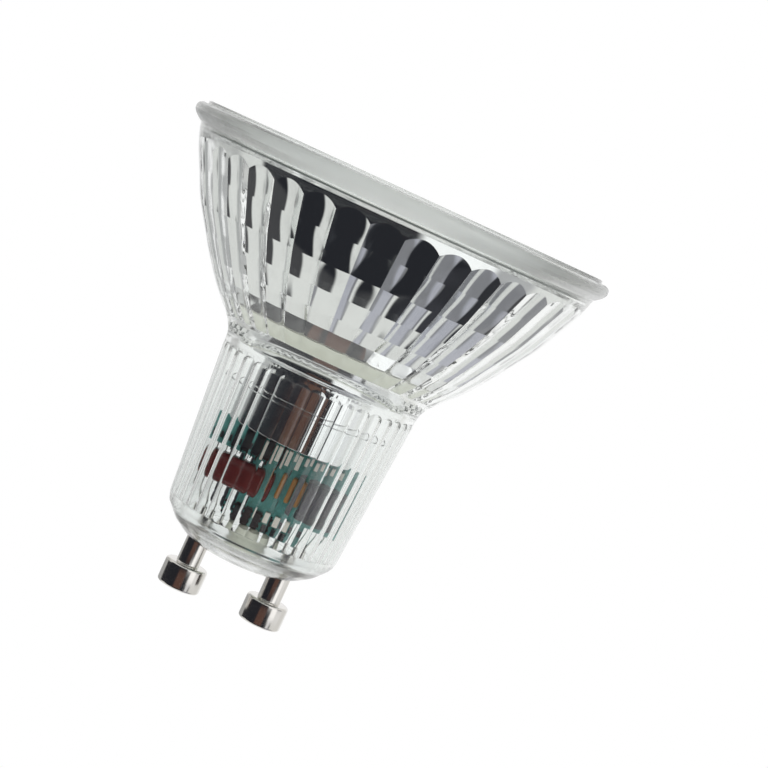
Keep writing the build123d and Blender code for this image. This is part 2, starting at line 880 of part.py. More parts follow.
def main():
    """Builds every part and writes one STEP file for each."""
    os.makedirs("parts", exist_ok=True)
    made = [
        make_glass_body(),
        make_mirror_coating(),
        make_front_lens(),
        make_lens_adhesive(),
        make_heat_sink_cup(),
        make_cup_adhesive(),
        make_source_board(),
        make_led_substrate(),
        make_led_dam(),
        make_led_phosphor(),
        make_terminal("terminal_left", -1),
        make_terminal("terminal_right", 1),
        make_link_pin("link_pin_left", -1),
        make_link_pin("link_pin_right", 1),
        make_insulation_tube(),
        make_driver_board(),
        make_film_capacitor(),
        make_inductor_core(),
        make_inductor_winding(),
        make_fuse_resistor(),
        make_bridge_rectifier(),
        make_driver_ic(),
        make_bulk_capacitor(),
        make_chips("ceramic_chips", ceramic_spots, ceramic_thickness),
        make_chips("chip_resistors", resistor_spots, resistor_thickness),
        make_contact_pin("contact_pin_left", -1),
        make_contact_pin("contact_pin_right", 1),
        make_pin_washer("pin_washer_left", -1),
        make_pin_washer("pin_washer_right", 1),
        make_supply_wire("supply_wire_left", -1, board_left_depth),
        make_supply_wire("supply_wire_right", 1, board_right_depth),
        make_silicone_blob(),
    ]
    for item in made:
        export_step(item.part, f"parts/{item.part.label}.step")


main()
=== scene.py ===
"""Looks of a glass LED spotlight bulb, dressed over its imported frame.

Lengths are millimetres in the row frame and are turned into metres when a mesh is
made. Depths are measured down from the face of the front cover.
"""

import json
import logging
import math
from dataclasses import dataclass, field
from enum import Enum

import bpy
import numpy as np
from mathutils import Matrix, Vector


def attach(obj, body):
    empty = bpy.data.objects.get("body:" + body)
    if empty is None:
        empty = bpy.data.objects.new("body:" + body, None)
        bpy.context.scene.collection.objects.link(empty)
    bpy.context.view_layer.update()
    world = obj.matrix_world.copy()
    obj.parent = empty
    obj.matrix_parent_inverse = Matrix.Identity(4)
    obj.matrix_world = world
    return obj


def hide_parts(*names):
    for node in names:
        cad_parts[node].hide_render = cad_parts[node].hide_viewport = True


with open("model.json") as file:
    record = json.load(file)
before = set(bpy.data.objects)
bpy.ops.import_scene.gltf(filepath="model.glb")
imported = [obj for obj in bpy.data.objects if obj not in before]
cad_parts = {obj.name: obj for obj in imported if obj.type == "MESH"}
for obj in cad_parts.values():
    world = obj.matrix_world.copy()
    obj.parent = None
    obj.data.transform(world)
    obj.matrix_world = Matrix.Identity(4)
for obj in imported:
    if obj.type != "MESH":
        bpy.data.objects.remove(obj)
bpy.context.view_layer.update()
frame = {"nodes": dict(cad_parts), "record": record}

MM = 0.001
BODY_HEIGHT = 45.2
CREASE = 24.0
ROOT = "root"
log = logging.getLogger("spotlight")


class Shade(Enum):
    """How a material lets light through."""

    SOLID = "solid"
    CLEAR = "clear"


@dataclass(frozen=True)
class Haze:
    """Zone of a clear piece whose surface is slightly matt.

    Attributes:
        low: Height of its lower end, in millimetres.
        high: Height of its upper end, in millimetres.
        roughness: Roughness in the zone.
        edge: Height over which it fades beyond both ends, in millimetres.
    """

    low: float
    high: float
    roughness: float
    edge: float = 0.6


@dataclass(frozen=True)
class Finish:
    """One plain finish of the bulb.

    Attributes:
        slot: Material slot of the record that the finish dresses.
        colour: Linear base colour.
        metallic: 1 for bare metal.
        roughness: Roughness of the surface.
        shade: Solid, or clear for glass and clear plastic.
        ior: Refractive index.
        mottle: Strength of the slow change of tone over the surface.
        grain: Size in millimetres of that change.
        dent: Height in millimetres of the surface's small unevenness.
        haze: Zones in which the surface is rougher.
    """

    slot: str
    colour: tuple[float, float, float]
    metallic: float = 0.0
    roughness: float = 0.5
    shade: Shade = Shade.SOLID
    ior: float = 1.5
    mottle: float = 0.0
    grain: float = 2.0
    dent: float = 0.0
    haze: tuple[Haze, ...] = ()


LIP_HAZE = Haze(low=43.0, high=60.0, roughness=0.26)
SHOULDER_HAZE = Haze(low=23.4, high=27.0, roughness=0.05)
BASE_HAZE = Haze(low=-10.0, high=3.6, roughness=0.14)
PLUG_HAZE = Haze(low=43.1, high=44.5, roughness=0.3, edge=0.25)

FINISHES = (
    Finish("clear_glass", (0.955, 0.972, 0.962), roughness=0.0, shade=Shade.CLEAR, ior=1.5,
           haze=(LIP_HAZE, SHOULDER_HAZE, BASE_HAZE)),
    Finish("lens_plastic", (0.95, 0.965, 0.955), roughness=0.03, shade=Shade.CLEAR, ior=1.49,
           haze=(PLUG_HAZE,)),
    Finish("clear_plastic", (0.97, 0.975, 0.975), roughness=0.03, shade=Shade.CLEAR, ior=1.34),
    Finish("mirror_film", (0.90, 0.90, 0.905), metallic=1.0, roughness=0.02),
    Finish("adhesive", (0.16, 0.17, 0.165), roughness=0.4),
    Finish("bright_aluminium", (0.90, 0.90, 0.91), metallic=1.0, roughness=0.06),
    Finish("white_board", (0.86, 0.86, 0.84), roughness=0.35),
    Finish("white_ceramic", (0.86, 0.86, 0.84), roughness=0.6),
    Finish("phosphor", (0.83, 0.58, 0.08), roughness=0.45),
    Finish("white_plastic", (0.80, 0.79, 0.74), roughness=0.5),
    Finish("tinned_metal", (0.78, 0.78, 0.76), metallic=1.0, roughness=0.22),
    Finish("green_board", (0.085, 0.285, 0.27), roughness=0.25, mottle=0.6, grain=1.6),
    Finish("maroon_epoxy", (0.085, 0.010, 0.010), roughness=0.2, mottle=0.4, dent=0.03),
    Finish("ferrite", (0.010, 0.011, 0.022), roughness=0.45),
    Finish("copper_wire", (0.016, 0.013, 0.026), roughness=0.35),
    Finish("resistor_paint", (0.36, 0.17, 0.05), roughness=0.3),
    Finish("black_epoxy", (0.025, 0.025, 0.032), roughness=0.45),
    Finish("dark_sleeve", (0.03, 0.032, 0.045), roughness=0.3),
    Finish("chip_ceramic", (0.75, 0.70, 0.64), roughness=0.4),
    Finish("nickel", (0.76, 0.74, 0.71), metallic=1.0, roughness=0.17),
    Finish("silicone", (0.60, 0.60, 0.52), roughness=0.35),
)


def unevenness_group() -> bpy.types.NodeTree:
    """Builds the shared node group that varies tone and height over a surface.

    Returns:
        A group with inputs Colour, Strength and Grain and outputs Colour and Height.
    """
    group = bpy.data.node_groups.new("surface_unevenness", "ShaderNodeTree")
    put = group.interface.new_socket
    put("Colour", in_out="INPUT", socket_type="NodeSocketColor")
    put("Strength", in_out="INPUT", socket_type="NodeSocketFloat")
    put("Grain", in_out="INPUT", socket_type="NodeSocketFloat")
    put("Colour", in_out="OUTPUT", socket_type="NodeSocketColor")
    put("Height", in_out="OUTPUT", socket_type="NodeSocketFloat")
    nodes, links = group.nodes, group.links
    given = nodes.new("NodeGroupInput")
    result = nodes.new("NodeGroupOutput")
    place = nodes.new("ShaderNodeTexCoord")
    noise = nodes.new("ShaderNodeTexNoise")
    noise.inputs["Detail"].default_value = 3.0
    scaled = nodes.new("ShaderNodeVectorMath")
    scaled.operation = "SCALE"
    centred = nodes.new("ShaderNodeMapRange")
    centred.inputs["To Min"].default_value = -1.0
    centred.inputs["To Max"].default_value = 1.0
    swing = nodes.new("ShaderNodeMath")
    swing.operation = "MULTIPLY_ADD"
    swing.inputs[2].default_value = 1.0
    tone = nodes.new("ShaderNodeHueSaturation")
    links.new(place.outputs["Object"], scaled.inputs[0])
    links.new(given.outputs["Grain"], scaled.inputs["Scale"])
    links.new(scaled.outputs[0], noise.inputs["Vector"])
    links.new(noise.outputs["Fac"], centred.inputs["Value"])
    links.new(centred.outputs["Result"], swing.inputs[0])
    links.new(given.outputs["Strength"], swing.inputs[1])
    links.new(swing.outputs[0], tone.inputs["Value"])
    links.new(given.outputs["Colour"], tone.inputs["Color"])
    links.new(tone.outputs["Color"], result.inputs["Colour"])
    links.new(noise.outputs["Fac"], result.inputs["Height"])
    return group


def zone_group() -> bpy.types.NodeTree:
    """Builds the shared node group that marks a zone of heights.

    Returns:
        A group with inputs Low, High and Edge in metres and the output Mask, which is 1
        between Low and High and falls to 0 over Edge beyond them.
    """
    group = bpy.data.node_groups.new("height_zone", "ShaderNodeTree")
    put = group.interface.new_socket
    for name in ("Low", "High", "Edge"):
        put(name, in_out="INPUT", socket_type="NodeSocketFloat")
    put("Mask", in_out="OUTPUT", socket_type="NodeSocketFloat")
    nodes, links = group.nodes, group.links
    given = nodes.new("NodeGroupInput")
    result = nodes.new("NodeGroupOutput")
    place = nodes.new("ShaderNodeTexCoord")
    parts = nodes.new("ShaderNodeSeparateXYZ")
    links.new(place.outputs["Object"], parts.inputs[0])
    both = nodes.new("ShaderNodeMath")
    both.operation = "MULTIPLY"
    for number, side in enumerate(("Low", "High")):
        beyond = nodes.new("ShaderNodeMath")
        beyond.operation = "SUBTRACT"
        near, far = (parts.outputs["Z"], given.outputs[side])
        if side == "High":
            near, far = far, near
        links.new(near, beyond.inputs[0])
        links.new(far, beyond.inputs[1])
        step = nodes.new("ShaderNodeMath")
        step.operation = "DIVIDE"
        links.new(beyond.outputs[0], step.inputs[0])
        links.new(given.outputs["Edge"], step.inputs[1])
        full = nodes.new("ShaderNodeMath")
        full.operation = "ADD"
        full.inputs[1].default_value = 1.0
        full.use_clamp = True
        links.new(step.outputs[0], full.inputs[0])
        links.new(full.outputs[0], both.inputs[number])
    links.new(both.outputs[0], result.inputs["Mask"])
    return group


class Finishes:
    """The bulb's materials, one for each slot of the record."""

    def __init__(self) -> None:
        """Builds every material once."""
        self.unevenness = unevenness_group()
        self.zone = zone_group()
        self.made = {finish.slot: self.build(finish) for finish in FINISHES}

    def build(self, finish: Finish) -> bpy.types.Material:
        """Makes the material of one finish.

        Args:
            finish: The finish to make.

        Returns:
            The new material.
        """
        material = bpy.data.materials.new(finish.slot)
        material.use_nodes = True
        nodes, links = material.node_tree.nodes, material.node_tree.links
        shader = nodes["Principled BSDF"]
        shader.inputs["Base Color"].default_value = (*finish.colour, 1.0)
        shader.inputs["Metallic"].default_value = finish.metallic
        shader.inputs["Roughness"].default_value = finish.roughness
        shader.inputs["IOR"].default_value = finish.ior
        if finish.mottle or finish.dent:
            uneven = nodes.new("ShaderNodeGroup")
            uneven.node_tree = self.unevenness
            uneven.inputs["Colour"].default_value = (*finish.colour, 1.0)
            uneven.inputs["Strength"].default_value = finish.mottle
            uneven.inputs["Grain"].default_value = 1.0 / (finish.grain * MM)
            links.new(uneven.outputs["Colour"], shader.inputs["Base Color"])
            if finish.dent:
                bump = nodes.new("ShaderNodeBump")
                bump.inputs["Distance"].default_value = finish.dent * MM
                links.new(uneven.outputs["Height"], bump.inputs["Height"])
                links.new(bump.outputs["Normal"], shader.inputs["Normal"])
        if finish.haze:
            self.roughen(material, finish)
        if finish.shade is Shade.CLEAR:
            shader.inputs["Transmission Weight"].default_value = 1.0
            self.let_light_in(material, finish)
        return material

    def roughen(self, material: bpy.types.Material, finish: Finish) -> None:
        """Adds the roughness of each zone of haze to the finish's own.

        Args:
            material: The material of the finish.
            finish: Its finish, which holds the zones.
        """
        nodes, links = material.node_tree.nodes, material.node_tree.links
        total = None
        for haze in finish.haze:
            zone = nodes.new("ShaderNodeGroup")
            zone.node_tree = self.zone
            zone.inputs["Low"].default_value = haze.low * MM
            zone.inputs["High"].default_value = haze.high * MM
            zone.inputs["Edge"].default_value = haze.edge * MM
            add = nodes.new("ShaderNodeMath")
            add.operation = "MULTIPLY_ADD"
            links.new(zone.outputs["Mask"], add.inputs[0])
            add.inputs[1].default_value = haze.roughness
            add.inputs[2].default_value = finish.roughness
            if total is not None:
                links.new(total.outputs[0], add.inputs[2])
            total = add
        links.new(total.outputs[0], nodes["Principled BSDF"].inputs["Roughness"])

    @staticmethod
    def let_light_in(material: bpy.types.Material, finish: Finish) -> None:
        """Lets plain light pass a clear wall, so that the parts inside are lit.

        Args:
            material: The clear material.
            finish: Its finish, whose colour tints the light.
        """
        nodes, links = material.node_tree.nodes, material.node_tree.links
        shader = nodes["Principled BSDF"]
        path = nodes.new("ShaderNodeLightPath")
        either = nodes.new("ShaderNodeMath")
        either.operation = "MAXIMUM"
        passing = nodes.new("ShaderNodeBsdfTransparent")
        passing.inputs["Color"].default_value = (*finish.colour, 1.0)
        mixed = nodes.new("ShaderNodeMixShader")
        links.new(path.outputs["Is Shadow Ray"], either.inputs[0])
        links.new(path.outputs["Is Diffuse Ray"], either.inputs[1])
        links.new(either.outputs[0], mixed.inputs[0])
        links.new(shader.outputs[0], mixed.inputs[1])
        links.new(passing.outputs[0], mixed.inputs[2])
        links.new(mixed.outputs[0], nodes["Material Output"].inputs["Surface"])

    def dress(self, piece: bpy.types.Object, slot: str) -> None:
        """Gives a piece one finish over its whole surface.

        Args:
            piece: The mesh object.
            slot: The record's slot to dress it with.
        """
        piece.data.materials.clear()
        piece.data.materials.append(self.made[slot])

    def dress_frame(self) -> None:
        """Gives every CAD node that is still shown its own slot's finish."""
        slots = {s["node"]: s["material_slot"] for s in frame["record"]["subparts"]}
        for name, node in frame["nodes"].items():
            self.dress(node, slots[name])


def smooth_curve(points: np.ndarray, count: int) -> np.ndarray:
    """Natural cubic spline through points, sampled evenly along its chord length.

    On each stretch the curve is the straight blend of its ends plus the two cubic
    terms whose second derivatives meet at the points and vanish at both ends.

    Args:
        points: Array of (radius, height) rows.
        count: Number of samples.

    Returns:
        Array of count rows.
    """
    steps = np.linalg.norm(np.diff(points, axis=0), axis=1)
    knots = np.concatenate([[0.0], np.cumsum(steps)])
    size = len(knots)
    system = np.eye(size)
    right = np.zeros((size, points.shape[1]))
    inner = np.arange(1, size - 1)
    before, after = steps[:-1], steps[1:]
    system[inner, inner - 1] = before
    system[inner, inner] = 2 * (before + after)
    system[inner, inner + 1] = after
    slopes = np.diff(points, axis=0) / steps[:, None]
    right[1:-1] = 6 * np.diff(slopes, axis=0)
    bend = np.linalg.solve(system, right)
    at = np.linspace(0.0, knots[-1], count)
    k = np.clip(np.searchsorted(knots, at, side="right") - 1, 0, size - 2)
    h = steps[k][:, None]
    a = (knots[k + 1] - at)[:, None] / h
    b = 1 - a
    curved = ((a**3 - a) * bend[k] + (b**3 - b) * bend[k + 1]) * h**2 / 6
    return a * points[k] + b * points[k + 1] + curved


def rounded_line(corners: list[tuple[float, float, float]], steps: int = 6) -> np.ndarray:
    """Chain of straight lines with round corners.

    Each corner of radius f is replaced by the arc that touches both of its lines,
    at the distance f / tan(half the angle between them) from the corner.

    Args:
        corners: (radius, height, corner radius) of each point of the chain.
        steps: Number of stretches in each arc.

    Returns:
        Array of (radius, height) rows.
    """
    chain = []
    for i, (x, z, fillet) in enumerate(corners):
        here = np.array([x, z])
        if fillet <= 0 or i in (0, len(corners) - 1):
            chain.append(here[None])
            continue
        back = np.array(corners[i - 1][:2]) - here
        ahead = np.array(corners[i + 1][:2]) - here
        back /= np.linalg.norm(back)
        ahead /= np.linalg.norm(ahead)
        half = math.acos(float(np.clip(back @ ahead, -1, 1))) / 2
        middle = (back + ahead) / np.linalg.norm(back + ahead)
        centre = here + middle * fillet / math.sin(half)
        first = here + back * fillet / math.tan(half) - centre
        last = here + ahead * fillet / math.tan(half) - centre
        turn = np.linspace(0.0, 1.0, steps + 1)[:, None]
        swing = math.pi - 2 * half
        arc = (np.sin((1 - turn) * swing) * first + np.sin(turn * swing) * last) / math.sin(swing)
        chain.append(centre + arc)
    return np.concatenate(chain)


def ring_quads(lower: np.ndarray, upper: np.ndarray, columns: int) -> np.ndarray:
    """Faces between pairs of rings, each from a column to the next one round.

    Point c of ring r has the number r times columns plus c.

    Args:
        lower: Number of the first ring of each pair.
        upper: Number of the second ring of each pair.
        columns: Points in each ring.

    Returns:
        Array of four point numbers for each face.
    """
    across = np.arange(columns)
    beyond = (across + 1) % columns
    first, last = lower[:, None] * columns, upper[:, None] * columns
    return np.stack([
        (first + across).ravel(), (first + beyond).ravel(),
        (last + beyond).ravel(), (last + across).ravel(),
    ], axis=1)


@dataclass
class RingGrid:
    """Closed surface made of rings of points round an axis.

    Attributes:
        radii: Ring radius by row and column, in millimetres.
        heights: Height by row and column, in millimetres.
        angles: Angle of each column, in radians.
        sharp_rows: Rows whose ring is a sharp edge.
        sharp_columns: By row gap and column, where the line along is a sharp edge.
        loop: True if the last row joins the first, False if both rows are poles.
        centre: Place of the axis in the row frame, in millimetres.
    """

    radii: np.ndarray
    heights: np.ndarray
    angles: np.ndarray
    sharp_rows: np.ndarray
    sharp_columns: np.ndarray | None = None
    loop: bool = False
    centre: tuple[float, float] = (0.0, 0.0)

    def points(self) -> np.ndarray:
        """Point at radius r and angle t: (r cos t, r sin t, z).

        Returns:
            Array of places in metres, by row and column.
        """
        x = self.radii * np.cos(self.angles) + self.centre[0]
        y = self.radii * np.sin(self.angles) + self.centre[1]
        return np.stack([x, y, self.heights], axis=-1) * MM

    def mesh(self, name: str, face_rows: np.ndarray | None = None) -> bpy.types.Object:
        """Puts the surface into a mesh whose faces point outwards.

        The faces are turned round where six times the signed volume, the sum of
        a . (b x c) over the triangles, is negative.

        Args:
            name: Name of the new piece.
            face_rows: Material number of the faces after each row, if they differ.

        Returns:
            The new object.
        """
        grid = self.points()
        rows, columns = grid.shape[:2]
        first, last = (0, rows) if self.loop else (1, rows - 1)
        rings = grid[first:last]
        count = len(rings)
        lower = np.arange(count if self.loop else count - 1)
        quads = ring_quads(lower, (lower + 1) % count, columns)
        points = rings.reshape(-1, 3)
        faces = quads.tolist()
        triangles = [quads[:, [0, 1, 2]], quads[:, [0, 2, 3]]]
        face_row = np.repeat(lower + first, columns)
        if not self.loop:
            poles = np.stack([grid[0].mean(0), grid[-1].mean(0)])
            start, end = len(points), len(points) + 1
            points = np.concatenate([points, poles])
            across = np.arange(columns)
            beyond = (across + 1) % columns
            top = (count - 1) * columns
            fan_a = np.stack([np.full(columns, start), beyond, across], axis=1)
            fan_b = np.stack([np.full(columns, end), top + across, top + beyond], axis=1)
            faces += fan_a.tolist() + fan_b.tolist()
            triangles += [fan_a, fan_b]
            face_row = np.concatenate([
                face_row, np.zeros(columns, int), np.full(columns, rows - 2)])
        corners = points[np.concatenate(triangles)]
        signed = np.einsum("ij,ij->", corners[:, 0], np.cross(corners[:, 1], corners[:, 2]))
        if signed < 0:
            faces = [face[::-1] for face in faces]
        data = bpy.data.meshes.new(name)
        data.from_pydata(points.tolist(), [], faces)
        data.polygons.foreach_set("use_smooth", np.ones(len(faces), bool))
        if face_rows is not None:
            data.polygons.foreach_set("material_index", face_rows[face_row].astype(np.int32))
        self.mark_sharp(data, count, columns, first)
        data.update()
        piece = bpy.data.objects.new(name, data)
        bpy.context.scene.collection.objects.link(piece)
        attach(piece, ROOT)
        return piece

    def mark_sharp(self, data: bpy.types.Mesh, count: int, columns: int, first: int) -> None:
        """Marks the edges on sharp rings and on sharp lines along the piece.

        Args:
            data: The mesh.
            count: Number of rings in it.
            columns: Points in each ring.
            first: Row number of the first ring.
        """
        ends = np.empty(len(data.edges) * 2, np.int32)
        data.edges.foreach_get("vertices", ends)
        ends = ends.reshape(-1, 2)
        ring, column = ends // columns, ends % columns
        inside = (ends < count * columns).all(1)
        ring = np.clip(ring, 0, count - 1)
        level = inside & (ring[:, 0] == ring[:, 1])
        sharp = level & self.sharp_rows[ring[:, 0] + first]
        if self.sharp_columns is not None:
            along = inside & (column[:, 0] == column[:, 1])
            lower = np.minimum(ring[:, 0], ring[:, 1]) + first
            sharp |= along & self.sharp_columns[lower, column[:, 0]]
        mark = data.attributes.new("sharp_edge", "BOOLEAN", "EDGE")
        mark.data.foreach_set("value", sharp)


def turned(name: str, profile: np.ndarray, loop: bool = False, columns: int = 96,
           centre: tuple[float, float] = (0.0, 0.0)) -> bpy.types.Object:
    """Piece turned from a profile, with sharp edges where it bends past the crease.

    Args:
        name: Name of the new piece.
        profile: Array of (radius, height) rows; poles first and last unless it loops.
        loop: True for a ring-shaped piece.
        columns: Points round the axis.
        centre: Place of the axis.

    Returns:
        The new object.
    """
    ahead = np.roll(profile, -1, axis=0) - profile
    back = profile - np.roll(profile, 1, axis=0)
    turn = np.arctan2(back[:, 0] * ahead[:, 1] - back[:, 1] * ahead[:, 0],
                      (back * ahead).sum(1))
    sharp = np.abs(turn) > math.radians(CREASE)
    angles = np.linspace(0.0, 2 * math.pi, columns, endpoint=False)
    shape = (len(profile), columns)
    grid = RingGrid(
        radii=np.broadcast_to(profile[:, :1], shape),
        heights=np.broadcast_to(profile[:, 1:], shape),
        angles=angles, sharp_rows=sharp, loop=loop, centre=centre,
    )
    return grid.mesh(name)


def height(depth: np.ndarray | float) -> np.ndarray | float:
    """Height above the base of a depth below the front face."""
    return BODY_HEIGHT - depth


def from_middle(angles: np.ndarray, count: int, phase: float = 0.0) -> np.ndarray:
    """Angle of each column from the middle of its own flute or groove.

    It is the angle's remainder over the pitch, taken between half a pitch either way.

    Args:
        angles: Angle of each column from the front, in radians.
        count: Number of flutes or grooves.
        phase: Angle of the first one's middle, in radians.

    Returns:
        Array of angles in radians.
    """
    pitch = 2 * math.pi / count
    return (angles - phase + pitch / 2) % pitch - pitch / 2


@dataclass
class Flutes:
    """Hollow flutes of the mirror, in rows of facets with a smooth band above them.

    Attributes:
        count: Number of flutes round the bell.
        swing: Half the turn of a flute's hollow face, in degrees.
        rows: (ridge radius, depth) of each break between rows, from the top.
        band_top: Radius of the band at the lens seat.
        band_bottom: Radius the band would have at band_bottom_depth.
        band_bottom_depth: Depth at which band_bottom is reached.
        seat_depth: Depth of the lens seat.
        film_start: Depth of the film's upper edge below the seat.
    """

    count: int = 36
    swing: float = 14.0
    rows: tuple[tuple[float, float], ...] = (
        (22.58, 3.1), (20.75, 6.9), (19.15, 10.0), (17.5, 12.6),
        (15.95, 14.8), (14.65, 16.4), (13.3, 17.9),
    )
    band_top: float = 22.05
    band_bottom: float = 21.85
    band_bottom_depth: float = 5.2
    seat_depth: float = 2.9
    film_start: float = 0.3

    def hollow(self, turn: np.ndarray) -> np.ndarray:
        """Share of the ridge radius at an angle from a flute's middle.

        The flute is an arc through both ridges that bulges towards the axis. With c
        its centre's distance and q its radius, the share is
        c cos t - sqrt(q squared - (c sin t) squared).

        Args:
            turn: Angle from the middle of the flute, in radians.

        Returns:
            Array of shares, 1 at the ridges.
        """
        half = math.pi / self.count
        swing = math.radians(self.swing)
        radius = math.sin(half) / math.sin(swing)
        middle = math.cos(half) - math.sin(half) * math.tan(swing / 2)
        centre = middle + radius
        return centre * np.cos(turn) - np.sqrt(radius**2 - (centre * np.sin(turn)) ** 2)

    def band(self, depth: np.ndarray) -> np.ndarray:
        """Radius of the smooth band, a slight cone."""
        share = (depth - self.seat_depth) / (self.band_bottom_depth - self.seat_depth)
        return self.band_top + (self.band_bottom - self.band_top) * share

    def arch(self, turn: np.ndarray) -> np.ndarray:
        """Depth at which each column of the flutes comes out of the band.

        Both are straight lines in depth there, so their crossing is worked out from
        the two values at the top and at the first break.

        Args:
            turn: Angle from the middle of the flute, in radians.

        Returns:
            Array of depths.
        """
        top, first = self.rows[0], self.rows[1]
        share = self.hollow(turn)
        at_top = top[0] * share - self.band(top[1])
        at_first = first[0] * share - self.band(first[1])
        return top[1] + (first[1] - top[1]) * at_top / (at_top - at_first)


@dataclass
class Grooves:
    """Round grooves of the neck, each with a ball-shaped upper end.

    Attributes:
        count: Number of grooves.
        phase: Turn of the first groove from the front, in degrees.
        radius: Radius of the round cutter.
        depth: Depth of a groove below the smooth bore.
        top_depth: Depth of the topmost point of the ball.
        bottom_depth: Depth of the lower end.
        shoulder_depth: Depth of the shoulder above the neck.
        shoulder_radius: Outer radius of the shoulder's ledge.
        floor_depth: Depth of the inner floor.
        bore_top: Bore radius at the shoulder.
        bore_bottom: Bore radius at the floor.
    """

    count: int = 36
    phase: float = 2.5
    radius: float = 2.0
    depth: float = 0.22
    top_depth: float = 22.2
    bottom_depth: float = 41.2
    shoulder_depth: float = 19.6
    shoulder_radius: float = 11.4
    floor_depth: float = 43.2
    bore_top: float = 10.2
    bore_bottom: float = 9.3

    def bore(self, depth: np.ndarray) -> np.ndarray:
        """Radius of the smooth bore at a depth, straight from shoulder to floor."""
        share = (depth - self.shoulder_depth) / (self.floor_depth - self.shoulder_depth)
        return self.bore_top + (self.bore_bottom - self.bore_top) * share

    def reach(self, turn: np.ndarray, depth: np.ndarray) -> np.ndarray:
        """Radius of a groove's wall at an angle from its middle and a depth.

        The wall is the far side of a circle of radius q whose centre stands c from
        the axis: c cos t + sqrt(q squared - (c sin t) squared). In the ball, q
        squared is less by the square of the height above the ball's centre.

        Args:
            turn: Angle from the middle of the groove, in radians.
            depth: Depth below the front face.

        Returns:
            Array of radii, never less than the bore.
        """
        centre = self.bore(depth) + self.depth - self.radius
        above = np.clip(self.top_depth + self.radius - depth, 0.0, None)
        left = self.radius**2 - above**2 - (centre * np.sin(turn)) ** 2
        wall = centre * np.cos(turn) + np.sqrt(np.clip(left, 0.0, None))
        return np.maximum(wall, self.bore(depth))

    def arch(self, turn: np.ndarray) -> np.ndarray:
        """Depth at which the ball's surface comes out of the smooth bore.

        It is the ball's centre less sqrt(q squared - d squared), with d the distance
        from the circle's centre to the bore's surface at that angle.

        Args:
            turn: Angle from the middle of the groove, in radians.

        Returns:
            Array of depths.
        """
        at = self.top_depth + self.radius
        bore = self.bore(at)
        centre = bore + self.depth - self.radius
        apart = bore**2 + centre**2 - 2 * bore * centre * np.cos(turn)
        return at - np.sqrt(np.clip(self.radius**2 - apart, 0.0, None))


